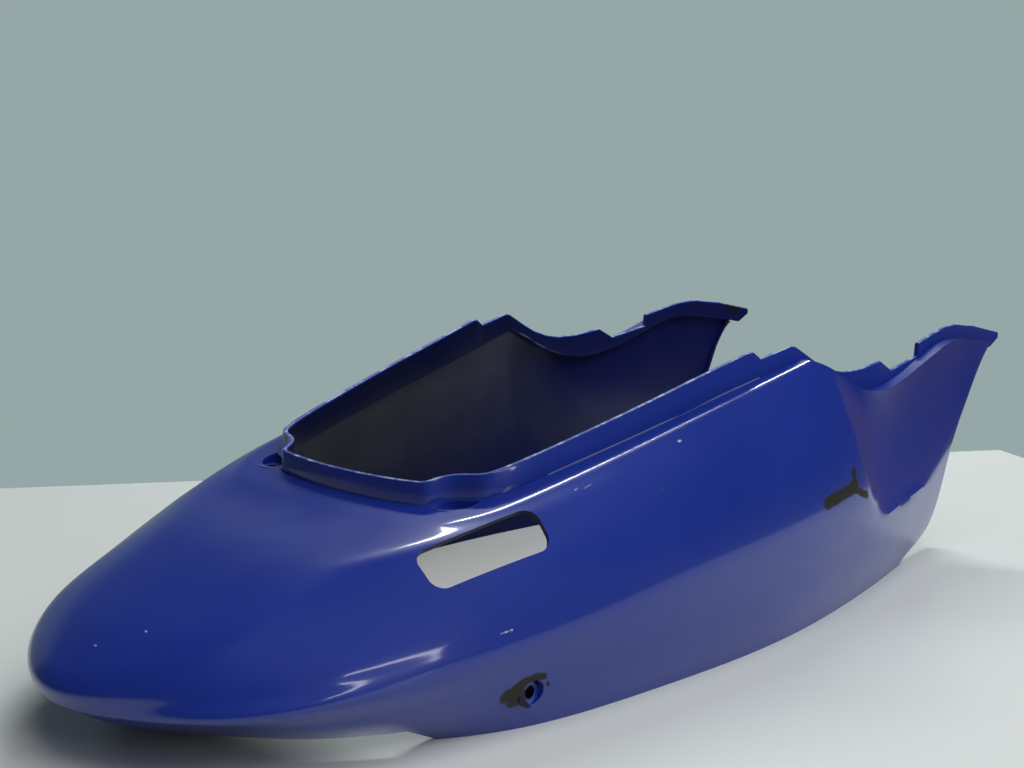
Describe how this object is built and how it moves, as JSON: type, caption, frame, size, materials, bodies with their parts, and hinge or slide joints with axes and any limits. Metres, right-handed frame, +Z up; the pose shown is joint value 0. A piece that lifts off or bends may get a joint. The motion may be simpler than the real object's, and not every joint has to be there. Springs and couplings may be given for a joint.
{
  "type": "motorcycle tail fairing",
  "caption": "Moulded motorcycle tail fairing shell: rounded closed tail, open seat well with an upstanding stepped lip, swept front wings, side slots and screw holes.",
  "frame": {"origin": "middle of the length and width, on the plane the lower edges rest on", "axes": "+X forward on the vehicle, towards the wing tips; +Y the vehicle's left; +Z up"},
  "size_m": [0.694, 0.288, 0.16],
  "materials": {
    "painted_shell": "gloss blue paint on black plastic, scuffed and chipped"
  },
  "bodies": {
    "root": {"tail_fairing": "painted_shell"}
  },
  "joints": []
}
